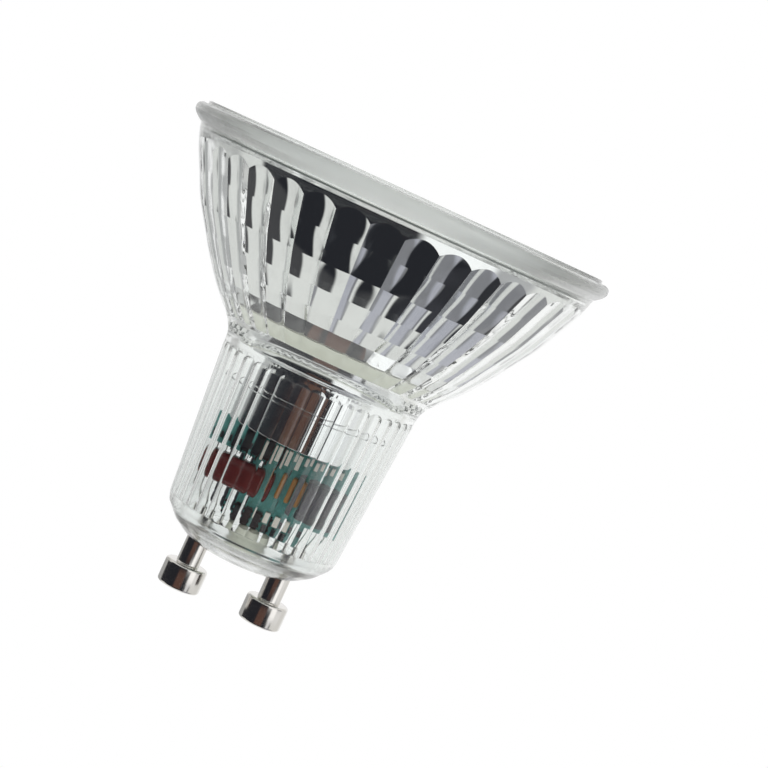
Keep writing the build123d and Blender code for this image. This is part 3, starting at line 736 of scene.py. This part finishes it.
@dataclass
class GlassBody:
    """Pressed glass bell, neck and base, with the mirror film on its facets.

    Attributes:
        flutes: The faceted cavity of the bell.
        grooves: The grooved cavity of the neck.
        columns_per_flute: Points across one flute.
        groove_rows: Rows of points along the straight part of a groove.
        ball_rows: Rows of points over the ball at a groove's upper end.
        bell_rows: Rows of points down the bell's outer curve.
        lip_steps: Stretches in each round corner of the lip.
        seat_radius: Radius of the lens seat.
        lip_top: Depth of the lip's upper edge.
        floor_corner: Corner radius of the inner floor.
        lip: (radius, depth, corner radius) of the lip's outline.
        bell: (radius, depth) of the outer curve from the lip to the neck.
        base: (radius, depth, corner radius) of the neck's foot and the base.
    """

    flutes: Flutes = field(default_factory=Flutes)
    grooves: Grooves = field(default_factory=Grooves)
    columns_per_flute: int = 12
    groove_rows: int = 5
    ball_rows: int = 7
    bell_rows: int = 56
    lip_steps: int = 4
    seat_radius: float = 23.0
    lip_top: float = 0.4
    floor_corner: float = 1.2
    lip: tuple[tuple[float, float, float], ...] = (
        (24.45, 0.4, 0.2), (24.85, 0.6, 0.2), (25.0, 0.85, 0.1), (25.0, 1.35, 0.2),
        (24.75, 1.75, 0.2), (24.4, 2.05, 0.15),
    )
    bell: tuple[tuple[float, float], ...] = (
        (23.85, 2.5), (23.35, 4.2), (22.1, 6.9), (20.6, 10.0), (18.95, 12.6),
        (17.5, 14.8), (16.35, 16.4), (15.2, 17.9), (13.85, 19.4), (12.35, 21.1),
        (11.75, 22.3), (11.6, 24.0),
    )
    base: tuple[tuple[float, float, float], ...] = (
        (10.25, 41.3, 1.5), (9.95, 42.2, 0.8), (8.6, 43.7, 1.2), (7.0, 44.75, 1.0),
        (5.8, 45.2, 0.8),
    )

    def inside(self, angles: np.ndarray) -> list[tuple[np.ndarray, np.ndarray, bool, int]]:
        """Rows of the cavity from the middle of the floor up to the lip.

        Args:
            angles: Angle of each column from the front, in radians.

        Returns:
            (radii, depths, sharp ring, film) for each row, where film is 1 if the
            faces after the row carry the mirror film.
        """
        flutes, grooves = self.flutes, self.grooves
        turn = from_middle(angles, flutes.count)
        neck_turn = from_middle(angles, grooves.count, math.radians(grooves.phase))
        flat = np.ones_like(angles)
        rows = [(0 * flat, grooves.floor_depth * flat, False, 0)]
        corner = rounded_line([
            (0.0, grooves.floor_depth, 0.0),
            (grooves.bore(grooves.floor_depth), grooves.floor_depth, self.floor_corner),
            (grooves.bore(grooves.bottom_depth), grooves.bottom_depth, 0.0),
        ])[1:]
        rows += [(r * flat, d * flat, False, 0) for r, d in corner[:-1]]
        low = grooves.bottom_depth
        rows.append((grooves.bore(low) * flat, low * flat, True, 0))
        rows.append((grooves.reach(neck_turn, low * flat), low * flat, True, 0))
        ball = grooves.top_depth + grooves.radius
        for depth in np.linspace(low, ball, self.groove_rows)[1:]:
            rows.append((grooves.reach(neck_turn, depth * flat), depth * flat, False, 0))
        arch = grooves.arch(neck_turn)
        for share in np.sin(np.linspace(0, math.pi / 2, self.ball_rows))[1:-1]:
            depth = ball + (arch - ball) * share
            rows.append((grooves.reach(neck_turn, depth), depth, False, 0))
        rows.append((grooves.bore(arch), arch, True, 0))
        shoulder = grooves.shoulder_depth
        rows.append((grooves.bore_top * flat, shoulder * flat, True, 0))
        rows.append((grooves.shoulder_radius * flat, shoulder * flat, True, 0))
        for number, (radius, depth) in enumerate(flutes.rows[:0:-1]):
            coated = int(number > 0)
            rows.append((radius * flutes.hollow(turn), depth * flat, True, coated))
        top = flutes.arch(turn)
        rows.append((flutes.band(top), top, True, 1))
        edge = (flutes.seat_depth + flutes.film_start) * flat
        rows.append((flutes.band(edge), edge, False, 0))
        rows.append((flutes.band_top * flat, flutes.seat_depth * flat, True, 0))
        rows.append((self.seat_radius * flat, flutes.seat_depth * flat, True, 0))
        return rows

    def outside(self) -> tuple[np.ndarray, np.ndarray]:
        """Outline from the seat's upper edge round the lip and down to the axis.

        Returns:
            Array of (radius, depth) rows and whether each row is a sharp ring.
        """
        lip = rounded_line([(self.seat_radius, self.lip_top, 0.0), *self.lip,
                            (*self.bell[0], 0.0)], self.lip_steps)[:-1]
        bell = smooth_curve(np.array(self.bell), self.bell_rows)
        base = rounded_line([(*self.bell[-1], 0.0), *self.base,
                             (0.0, self.base[-1][1], 0.0)])[1:]
        outline = np.concatenate([lip, bell, base])
        sharp = np.zeros(len(outline), bool)
        sharp[0] = True
        sharp[len(lip)] = True
        return outline, sharp

    def grid(self) -> tuple[RingGrid, np.ndarray]:
        """Whole closed surface of the glass and the film's place on it.

        Returns:
            The surface and the material number of the faces after each row.
        """
        flutes, grooves = self.flutes, self.grooves
        columns = flutes.count * self.columns_per_flute
        from_front = (np.arange(columns) / columns - 0.5 / flutes.count) * 2 * math.pi
        rows = self.inside(from_front)
        outline, sharp = self.outside()
        flat = np.ones(columns)
        radii = np.stack([r for r, *_ in rows] + [r * flat for r in outline[:, 0]])
        depths = np.stack([d for _, d, *_ in rows] + [d * flat for d in outline[:, 1]])
        sharp_rows = np.concatenate([[s for *_, s, _ in rows], sharp])
        film = np.concatenate([[f for *_, f in rows], np.zeros(len(outline), int)])
        ridges = np.arange(columns) % self.columns_per_flute == 0
        shift = round(grooves.phase / 360 * columns)
        neck_ridges = np.roll(ridges, shift)
        in_film = film.astype(bool)
        in_film[np.flatnonzero(in_film)[0] - 1] = True
        in_film[np.flatnonzero(in_film)[-1]] = False
        low = int(np.flatnonzero(np.isclose(depths[:, 0], grooves.bottom_depth))[-1])
        high = int(np.flatnonzero(np.isclose(depths[:, 0], grooves.shoulder_depth))[0])
        in_neck = np.zeros(len(depths), bool)
        in_neck[low:high - 1] = True
        sharp_columns = in_film[:, None] & ridges | in_neck[:, None] & neck_ridges
        grid = RingGrid(
            radii=radii, heights=height(depths), angles=from_front - math.pi / 2,
            sharp_rows=sharp_rows.astype(bool), sharp_columns=sharp_columns,
        )
        return grid, film

    def build(self, finishes: Finishes) -> list[bpy.types.Object]:
        """Makes the glass with its film.

        Args:
            finishes: The bulb's materials.

        Returns:
            The new pieces.
        """
        grid, film = self.grid()
        glass = grid.mesh("glass_bell_and_neck", film)
        finishes.dress(glass, "clear_glass")
        glass.data.materials.append(finishes.made["mirror_film"])
        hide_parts("glass_body")
        return [glass]


@dataclass
class MirrorLining:
    """Thin lining that carries the mirror film, seen through the cover.

    Attributes:
        flutes: The cavity that it lines.
        gap: Distance from the glass.
        thickness: Thickness of the lining.
        columns_per_flute: Points across one flute.
    """

    flutes: Flutes = field(default_factory=Flutes)
    gap: float = 0.02
    thickness: float = 0.18
    columns_per_flute: int = 8

    def build(self, finishes: Finishes) -> list[bpy.types.Object]:
        """Makes the lining as a closed shell with flutes on both sides.

        Args:
            finishes: The bulb's materials.

        Returns:
            The new pieces.
        """
        flutes = self.flutes
        columns = flutes.count * self.columns_per_flute
        angles = (np.arange(columns) / columns - 0.5 / flutes.count) * 2 * math.pi
        turn = from_middle(angles, flutes.count)
        flat = np.ones(columns)
        top = flutes.arch(turn)
        coated = flutes.rows[-2:0:-1]
        radii = [r * flutes.hollow(turn) for r, _ in coated]
        depths = [d * flat for _, d in coated]
        edge = (flutes.seat_depth + flutes.film_start) * flat
        radii += [flutes.band(top), flutes.band(edge)]
        depths += [top, edge]
        outer = np.stack(radii) - self.gap
        down = np.stack(depths)
        inner = outer[::-1] - self.thickness
        ridges = np.arange(columns) % self.columns_per_flute == 0
        rows = len(outer) * 2
        along = np.ones(rows, bool)
        along[[len(outer) - 2, len(outer) - 1, len(outer), rows - 1]] = False
        grid = RingGrid(
            radii=np.concatenate([outer, inner]),
            heights=height(np.concatenate([down, down[::-1]])),
            angles=angles - math.pi / 2, sharp_rows=np.ones(rows, bool),
            sharp_columns=along[:, None] & ridges, loop=True,
        )
        lining = grid.mesh("mirror_lining")
        finishes.dress(lining, "mirror_film")
        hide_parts("mirror_coating")
        return [lining]


@dataclass
class FrontCover:
    """Clear moulded cover with stepped rings and a centre dome, and its adhesive.

    Attributes:
        flutes: The cavity whose seat the cover stands on.
        cap_radius: Radius of the raised face.
        cap_height: Height of the raised face above the lip.
        cap_edge: Corner radius of the raised face.
        cap_corner: Corner radius under the raised face.
        plug_radius: Radius of the plug that enters the bell.
        plug_depth: Depth of the plug's underside.
        plug_edge: Corner radius of the plug.
        dome_radius: Radius of the centre dome at its rim.
        dome_sag: Height of the centre dome.
        dome_rows: Rows of points over the dome.
        ring_count: Number of stepped rings.
        ring_step: Height of each step.
        plain_width: Width of the flat ring outside the steps.
        gap: Distance from the pieces round it.
        columns: Points of the cover round the axis.
        ring_columns: Points of the adhesive round the axis.
        corner_steps: Stretches in each round corner.
    """

    flutes: Flutes = field(default_factory=Flutes)
    cap_radius: float = 23.9
    cap_height: float = 0.4
    cap_edge: float = 0.15
    cap_corner: float = 0.05
    plug_radius: float = 22.9
    plug_depth: float = 2.65
    plug_edge: float = 0.12
    dome_radius: float = 9.0
    dome_sag: float = 2.6
    dome_rows: int = 24
    ring_count: int = 5
    ring_step: float = 0.22
    plain_width: float = 1.6
    gap: float = 0.02
    columns: int = 192
    ring_columns: int = 144
    corner_steps: int = 4

    def profile(self) -> np.ndarray:
        """Outline from the dome's lowest point round the plug to the middle of the face.

        The rings are steps of equal width that rise square and fall back on a slope.
        The dome is an arc through its rim and its lowest point.

        Returns:
            Array of (radius, height) rows.
        """
        top = height(0.0)
        under = height(self.cap_height - self.gap)
        plug = height(self.plug_depth)
        cap = rounded_line([
            (0.0, top, 0.0), (self.cap_radius, top, self.cap_edge),
            (self.cap_radius, under, self.cap_corner),
            (self.plug_radius, under, 0.0), (self.plug_radius, plug, self.plug_edge),
            (self.plug_radius - self.plain_width, plug, 0.0),
        ], self.corner_steps)
        start = self.plug_radius - self.plain_width
        width = (start - self.dome_radius) / self.ring_count
        steps = []
        for ring in range(self.ring_count):
            edge = start - ring * width
            steps += [(edge, plug + self.ring_step), (edge - width, plug)]
        curve = (self.dome_radius**2 + self.dome_sag**2) / (2 * self.dome_sag)
        reach = math.asin(self.dome_radius / curve)
        swing = np.linspace(reach, 0.0, self.dome_rows)[1:]
        dome = np.stack([curve * np.sin(swing),
                         plug - self.dome_sag + curve * (1 - np.cos(swing))], axis=1)
        return np.concatenate([cap, np.array(steps), dome])[::-1]

    def build(self, finishes: Finishes) -> list[bpy.types.Object]:
        """Makes the cover and the ring of adhesive under it.

        Args:
            finishes: The bulb's materials.

        Returns:
            The new pieces.
        """
        cover = turned("clear_cover", self.profile(), columns=self.columns)
        finishes.dress(cover, "lens_plastic")
        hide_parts("front_lens")
        low = height(self.flutes.seat_depth - self.gap)
        high = height(self.plug_depth + self.gap)
        inner = self.flutes.band_top
        ring = turned("cover_adhesive", np.array([
            (inner, low), (self.plug_radius, low), (self.plug_radius, high), (inner, high),
        ]), loop=True, columns=self.ring_columns)
        finishes.dress(ring, "adhesive")
        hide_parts("lens_adhesive")
        return [cover, ring]


@dataclass
class HeatSink:
    """Drawn aluminium cup, the silicone round its flare and the clear tube below it.

    Attributes:
        grooves: The neck's cavity, on whose shoulder the cup rests.
        flange_radius: Outer radius of the flange on the shoulder.
        flange_thickness: Thickness of the flange.
        upstand_radius: Outer radius of the upright ring above the flare.
        upstand_top: Depth of the upright ring's upper edge.
        upstand_bottom: Depth at which the flare meets the upright ring.
        cone_radius: Radius of the glass beside the flare's upper end.
        collar_radius: Outer radius of the collar.
        collar_bottom: Depth of the collar's underside.
        collar_corner: Corner radius where the collar turns in.
        sleeve_radius: Outer radius of the sleeve.
        sleeve_bottom: Depth of the sleeve's foot.
        sleeve_corner: Corner radius where the sleeve leaves the collar.
        bore_corner: Corner radius inside the sleeve.
        bend: Corner radius of the other drawn bends.
        rim_edge: Corner radius of the upright ring's upper edge.
        edge: Corner radius of the cut edges.
        wall: Thickness of the cup's wall.
        floor: Thickness of the cup's floor.
        tube_outer: Outer radius of the tube.
        tube_wall: Thickness of the tube.
        tube_top: Depth of the tube's upper end.
        tube_foot: Height of the tube's lower end.
        tube_edge: Width of the bevel at the tube's upper end.
        tube_columns: Points of the tube round the axis.
        gap: Distance from the pieces round it.
    """

    grooves: Grooves = field(default_factory=Grooves)
    flange_radius: float = 11.2
    flange_thickness: float = 0.5
    upstand_radius: float = 12.306
    upstand_top: float = 16.3
    upstand_bottom: float = 18.1
    cone_radius: float = 12.9
    collar_radius: float = 8.5
    collar_bottom: float = 22.4
    collar_corner: float = 0.8
    sleeve_radius: float = 6.7
    sleeve_bottom: float = 30.7
    sleeve_corner: float = 0.4
    bore_corner: float = 0.2
    bend: float = 0.3
    rim_edge: float = 0.15
    edge: float = 0.1
    wall: float = 0.5
    floor: float = 0.8
    tube_outer: float = 8.5
    tube_wall: float = 0.45
    tube_top: float = 26.6
    tube_foot: float = 2.45
    tube_edge: float = 0.1
    tube_columns: int = 144
    gap: float = 0.02

    def cup_profile(self) -> np.ndarray:
        """Outline from the middle of the floor round the upright ring to the underside.

        Returns:
            Array of (radius, height) rows.
        """
        rest = height(self.grooves.shoulder_depth - self.gap)
        top = rest + self.flange_thickness
        low, foot = height(self.collar_bottom), height(self.sleeve_bottom)
        inner = self.collar_radius - self.wall
        bore = self.sleeve_radius - self.wall
        upper, flare = height(self.upstand_top), height(self.upstand_bottom)
        return rounded_line([
            (0.0, low + self.floor, 0.0), (inner, low + self.floor, self.bend),
            (inner, top, self.bend), (self.flange_radius - self.wall, top, self.edge),
            (self.upstand_radius - self.wall, flare, self.bend),
            (self.upstand_radius - self.wall, upper, self.rim_edge),
            (self.upstand_radius, upper, self.rim_edge),
            (self.upstand_radius, flare, self.bend), (self.flange_radius, rest, self.edge),
            (self.collar_radius, rest, self.bend),
            (self.collar_radius, low, self.collar_corner),
            (self.sleeve_radius, low, self.sleeve_corner),
            (self.sleeve_radius, foot, self.edge), (bore, foot, self.edge),
            (bore, low, self.bore_corner), (0.0, low, 0.0),
        ])

    def seam_profile(self) -> np.ndarray:
        """Four corners of the silicone between the flare and the glass.

        Returns:
            Array of (radius, height) rows.
        """
        rest = height(self.grooves.shoulder_depth - self.gap)
        flare = height(self.upstand_bottom)
        return np.array([
            (self.flange_radius + self.gap, rest),
            (self.grooves.shoulder_radius - self.gap, rest),
            (self.cone_radius - 2 * self.gap, flare),
            (self.upstand_radius + self.gap, flare),
        ])

    def tube_profile(self) -> np.ndarray:
        """Outline of the tube's wall, with a bevel on both upper edges.

        Returns:
            Array of (radius, height) rows.
        """
        high = height(self.tube_top)
        inner = self.tube_outer - self.tube_wall
        return np.array([
            (self.tube_outer, self.tube_foot), (self.tube_outer, high - self.tube_edge),
            (self.tube_outer - self.tube_edge, high), (inner + self.tube_edge, high),
            (inner, high - self.tube_edge), (inner, self.tube_foot),
        ])

    def build(self, finishes: Finishes) -> list[bpy.types.Object]:
        """Makes the cup, the silicone and the tube.

        Args:
            finishes: The bulb's materials.

        Returns:
            The new pieces.
        """
        cup = turned("heat_sink", self.cup_profile())
        finishes.dress(cup, "bright_aluminium")
        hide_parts("heat_sink_cup")
        seam = turned("silicone_ring", self.seam_profile(), loop=True)
        finishes.dress(seam, "silicone")
        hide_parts("cup_adhesive")
        tube = turned("insulating_tube", self.tube_profile(), loop=True,
                      columns=self.tube_columns)
        finishes.dress(tube, "clear_plastic")
        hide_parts("insulation_tube")
        return [cup, seam, tube]


@dataclass
class ContactPins:
    """The two headed nickel pins of the base.

    Attributes:
        spacing: Distance between the pins' axes.
        reach: Length of a pin below the base.
        head_radius: Radius of the head.
        head_height: Height of the head.
        head_edge: Corner radius of the head.
        shaft_radius: Radius of the shaft.
        shaft_corner: Corner radius where the shaft meets the head.
        floor: Height of the inner floor of the base.
        washer: Thickness of the washer on that floor.
        rivet_radius: Radius of the riveted flange on the washer.
        rivet_edge: Height of the flange's upright edge.
        rivet_height: Height of the flange at the stem.
        rivet_round: Corner radius of the flange and the stem's end.
        rivet_corner: Corner radius inside the flange's corners.
        stem_radius: Radius of the stem above the flange.
        stem_height: Height of the stem above the washer.
        stem_shelf: Width of the flat ring round the stem.
        columns: Points of a pin round its axis.
        corner_steps: Stretches in each round corner.
    """

    spacing: float = 10.0
    reach: float = 6.0
    head_radius: float = 2.5
    head_height: float = 2.9
    head_edge: float = 0.32
    shaft_radius: float = 1.35
    shaft_corner: float = 0.12
    floor: float = 2.0
    washer: float = 0.35
    rivet_radius: float = 2.1
    rivet_edge: float = 0.3
    rivet_height: float = 0.7
    rivet_round: float = 0.1
    rivet_corner: float = 0.05
    stem_radius: float = 0.8
    stem_height: float = 1.6
    stem_shelf: float = 0.3
    columns: int = 72
    corner_steps: int = 5

    def profile(self) -> np.ndarray:
        """Outline from the head's face up to the top of the riveted stem.

        Returns:
            Array of (radius, height) rows.
        """
        shelf = self.floor + self.washer
        head_top = -self.reach + self.head_height
        neck, top = shelf + self.rivet_height, shelf + self.stem_height
        return rounded_line([
            (0.0, -self.reach, 0.0), (self.head_radius, -self.reach, self.head_edge),
            (self.head_radius, head_top, self.head_edge),
            (self.shaft_radius, head_top, self.shaft_corner),
            (self.shaft_radius, shelf, self.rivet_corner),
            (self.rivet_radius, shelf, self.rivet_round),
            (self.rivet_radius, shelf + self.rivet_edge, self.rivet_round),
            (self.stem_radius + self.stem_shelf, neck, self.rivet_round),
            (self.stem_radius, neck, self.rivet_corner),
            (self.stem_radius, top, self.rivet_round), (0.0, top, 0.0),
        ], self.corner_steps)

    def build(self, finishes: Finishes) -> list[bpy.types.Object]:
        """Makes both pins.

        Args:
            finishes: The bulb's materials.

        Returns:
            The new pieces.
        """
        pins = []
        for side, word in ((-1, "left"), (1, "right")):
            pin = turned(f"base_pin_{word}", self.profile(), columns=self.columns,
                         centre=(side * self.spacing / 2, 0.0))
            finishes.dress(pin, "nickel")
            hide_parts(f"contact_pin_{word}")
            pins.append(pin)
        return pins


class Outline(Enum):
    """Outline of a studio panel in azimuth and elevation."""

    BOX = "box"
    OVAL = "oval"


@dataclass(frozen=True)
class Panel:
    """One panel of the studio as the bulb sees it.

    Attributes:
        azimuth: Its two sides, degrees to the right of the camera's direction.
        elevation: Its lower and upper edge, in degrees.
        glow: Its linear colour, 1 for white.
        soft: Width of its soft edge, in degrees.
        outline: A box between its sides and edges, or the oval inside that box.
    """

    azimuth: tuple[float, float]
    elevation: tuple[float, float]
    glow: tuple[float, float, float]
    soft: float = 3.0
    outline: Outline = Outline.BOX

    def cover(self, azimuth: np.ndarray, elevation: np.ndarray) -> np.ndarray:
        """Share of the panel in each direction.

        A box's share is the product of two soft steps in azimuth and two in
        elevation. An oval's is one soft step of its distance from the middle, 1 on
        the oval, times its half height. A step is 3 s squared less 2 s cubed.

        Args:
            azimuth: Degrees to the right of the camera's direction.
            elevation: Degrees above the level.

        Returns:
            Array of shares.
        """
        (left, right), (low, high) = self.azimuth, self.elevation
        if self.outline is Outline.BOX:
            inside = [azimuth - left, right - azimuth, elevation - low, high - elevation]
        else:
            across = (2 * azimuth - left - right) / (right - left)
            up = (2 * elevation - low - high) / (high - low)
            inside = [(1 - np.hypot(across, up)) * (high - low) / 2]
        share = np.ones_like(azimuth)
        for distance in inside:
            step = np.clip(distance / self.soft + 0.5, 0.0, 1.0)
            share = share * step * step * (3 - 2 * step)
        return share


@dataclass
class Studio:
    """White ground, the reflected panels and the camera.

    Attributes:
        panels: Panels in the order in which they cover each other.
        radius: Distance of the panels, in metres.
        middle: Height of the panels' centre, in metres.
        columns: Points of the dome round the axis.
        rows: Points of the dome from its lowest to its highest ring.
        steepest: Elevation of the highest ring, in degrees.
        camera_distance: Distance of the camera from the lamp's axis.
        camera_height: Height of the camera.
        aim: Place that the camera looks at.
        lean: Turn of the lamp in the picture, in degrees.
        pixels_per_mm: Scale of the picture at the lamp's axis.
        picture: Width of the picture, in pixels.
        sensor: Width of the camera's sensor.
        clip: Nearest and farthest distance that the camera sees, in metres.
        bounces: Most bounces of any ray, of a reflected one and of a refracted one.
    """

    panels: tuple[Panel, ...] = (
        # pale room all round in front
        Panel((-140.0, 140.0), (-100.0, 100.0), (0.80, 0.80, 0.78), 16.0),
        # grey table's edge, low at the right, and the strip of light on it
        Panel((38.0, 100.0), (-70.0, -30.0), (0.25, 0.25, 0.27), 8.0),
        Panel((48.0, 112.0), (-66.0, -47.5), (0.48, 0.48, 0.54), 5.0),
        # dark opening behind the camera, under a pale ceiling
        Panel((-86.0, 67.0), (-69.0, 56.0), (0.022, 0.023, 0.028), 4.0, Outline.OVAL),
        Panel((-200.0, 200.0), (28.0, 100.0), (0.82, 0.82, 0.80), 10.0),
        # grey wall, its shaded foot and a black flag at the left
        Panel((-150.0, -104.0), (-24.0, 32.0), (0.55, 0.55, 0.54), 10.0),
        Panel((-165.0, -118.0), (-38.0, -6.0), (0.42, 0.425, 0.425), 12.0),
        Panel((-112.0, -80.0), (-28.0, -1.0), (0.025, 0.025, 0.03), 5.0),
        # grey screen with a bright lower edge at the right
        Panel((60.0, 96.0), (-6.0, 32.0), (0.45, 0.45, 0.46), 8.0),
        Panel((60.0, 100.0), (-15.0, -4.0), (0.90, 0.90, 0.90), 4.0),
        # soft box at the right, its lower part and its light on the table
        Panel((18.0, 66.0), (-3.0, 32.0), (1.15, 1.15, 1.15), 8.0),
        Panel((37.0, 66.0), (-15.0, 0.0), (1.25, 1.25, 1.25), 4.0),
        Panel((43.0, 58.0), (-36.0, -14.0), (0.80, 0.80, 0.82), 5.0),
        # brown wooden board in front
        Panel((-22.0, 17.0), (-34.0, -5.0), (0.12, 0.066, 0.052), 3.0),
    )
    radius: float = 1.6
    middle: float = 0.025
    columns: int = 360
    rows: int = 179
    steepest: float = 89.0
    camera_distance: float = 250.0
    camera_height: float = 44.9
    aim: tuple[float, float, float] = (6.66, 0.0, 24.56)
    lean: float = 24.6
    pixels_per_mm: float = 8.975
    picture: float = 768.0
    sensor: float = 36.0
    clip: tuple[float, float] = (0.01, 20.0)
    bounces: tuple[int, int, int] = (32, 16, 24)

    def glow(self, azimuth: np.ndarray, elevation: np.ndarray) -> np.ndarray:
        """Colour of the studio in each direction, white outside the panels.

        Args:
            azimuth: Degrees to the right of the camera's direction.
            elevation: Degrees above the level.

        Returns:
            Array of linear colours.
        """
        total = np.ones((*azimuth.shape, 3))
        for panel in self.panels:
            share = panel.cover(azimuth, elevation)[..., None]
            total = total * (1 - share) + np.array(panel.glow) * share
        return total

    def build_panels(self) -> bpy.types.Object:
        """Makes the dome that carries the panels, seen only in glass and metal.

        At azimuth a and elevation e its point is (sin a cos e, -cos a cos e, sin e)
        times the radius, above the dome's middle.

        Returns:
            The dome.
        """
        azimuth = np.linspace(-180.0, 180.0, self.columns, endpoint=False)
        elevation = np.linspace(-self.steepest, self.steepest, self.rows)
        a, e = np.meshgrid(np.radians(azimuth), np.radians(elevation))
        points = np.stack([np.sin(a) * np.cos(e), -np.cos(a) * np.cos(e), np.sin(e)], -1)
        points = points.reshape(-1, 3) * self.radius + np.array([0, 0, self.middle])
        lower = np.arange(self.rows - 1)
        quads = ring_quads(lower, lower + 1, self.columns)
        data = bpy.data.meshes.new("studio_panels")
        data.from_pydata(points.tolist(), [], quads.tolist())
        glow = self.glow(np.degrees(a), np.degrees(e)).reshape(-1, 3)
        glow = np.column_stack([glow, np.ones(len(glow))]).ravel()
        data.attributes.new("glow", "FLOAT_COLOR", "POINT").data.foreach_set("color", glow)
        dome = bpy.data.objects.new("studio_panels", data)
        bpy.context.scene.collection.objects.link(dome)
        dome.visible_camera = dome.visible_diffuse = dome.visible_shadow = False
        data.materials.append(self.panel_material())
        return dome

    @staticmethod
    def panel_material() -> bpy.types.Material:
        """Makes the material that glows in the colour stored on the dome.

        Returns:
            The new material.
        """
        material = bpy.data.materials.new("studio_panels")
        material.use_nodes = True
        nodes, links = material.node_tree.nodes, material.node_tree.links
        nodes.remove(nodes["Principled BSDF"])
        value = nodes.new("ShaderNodeAttribute")
        value.attribute_name = "glow"
        shine = nodes.new("ShaderNodeEmission")
        links.new(value.outputs["Color"], shine.inputs["Color"])
        links.new(shine.outputs[0], nodes["Material Output"].inputs["Surface"])
        material.cycles.emission_sampling = "NONE"
        return material

    def build_world(self) -> None:
        """Plain white world, which is also the picture's ground."""
        world = bpy.data.worlds.new("white_ground")
        world.use_nodes = True
        ground = world.node_tree.nodes["Background"]
        ground.inputs["Color"].default_value = (1.0, 1.0, 1.0, 1.0)
        ground.inputs["Strength"].default_value = 1.0
        bpy.context.scene.world = world

    def build_camera(self) -> bpy.types.Object:
        """Makes a camera level with the rim, turned so that the lamp leans to the right.

        The focal length is the sensor's width over the width that the picture shows,
        times the camera's distance.

        Returns:
            The camera.
        """
        data = bpy.data.cameras.new("camera")
        camera = bpy.data.objects.new("camera", data)
        bpy.context.scene.collection.objects.link(camera)
        place = Vector((0.0, -self.camera_distance, self.camera_height)) * MM
        ahead = (Vector(self.aim) * MM - place).normalized()
        lean = math.radians(self.lean)
        up = Vector((-math.sin(lean), 0.0, math.cos(lean)))
        right = ahead.cross(up).normalized()
        up = right.cross(ahead)
        turn = Matrix((right, up, -ahead)).transposed()
        camera.matrix_world = Matrix.Translation(place) @ turn.to_4x4()
        data.sensor_width = self.sensor
        data.lens = self.sensor * self.pixels_per_mm * self.camera_distance / self.picture
        data.clip_start, data.clip_end = self.clip
        bpy.context.scene.camera = camera
        return camera

    def build(self) -> None:
        """Makes the whole studio."""
        self.build_world()
        self.build_panels()
        self.build_camera()
        scene = bpy.context.scene
        scene.view_settings.view_transform = "Standard"
        cycles = scene.cycles
        cycles.max_bounces, cycles.glossy_bounces, cycles.transmission_bounces = self.bounces


def main() -> None:
    """Dresses the frame and builds each sub-assembly and the studio."""
    logging.basicConfig(level=logging.INFO, format="%(message)s")
    finishes = Finishes()
    finishes.dress_frame()
    for part in (GlassBody(), MirrorLining(), FrontCover(), HeatSink(), ContactPins()):
        for piece in part.build(finishes):
            log.info("%s: %d faces", piece.name, len(piece.data.polygons))
    Studio().build()


if __name__ == "__main__":
    main()
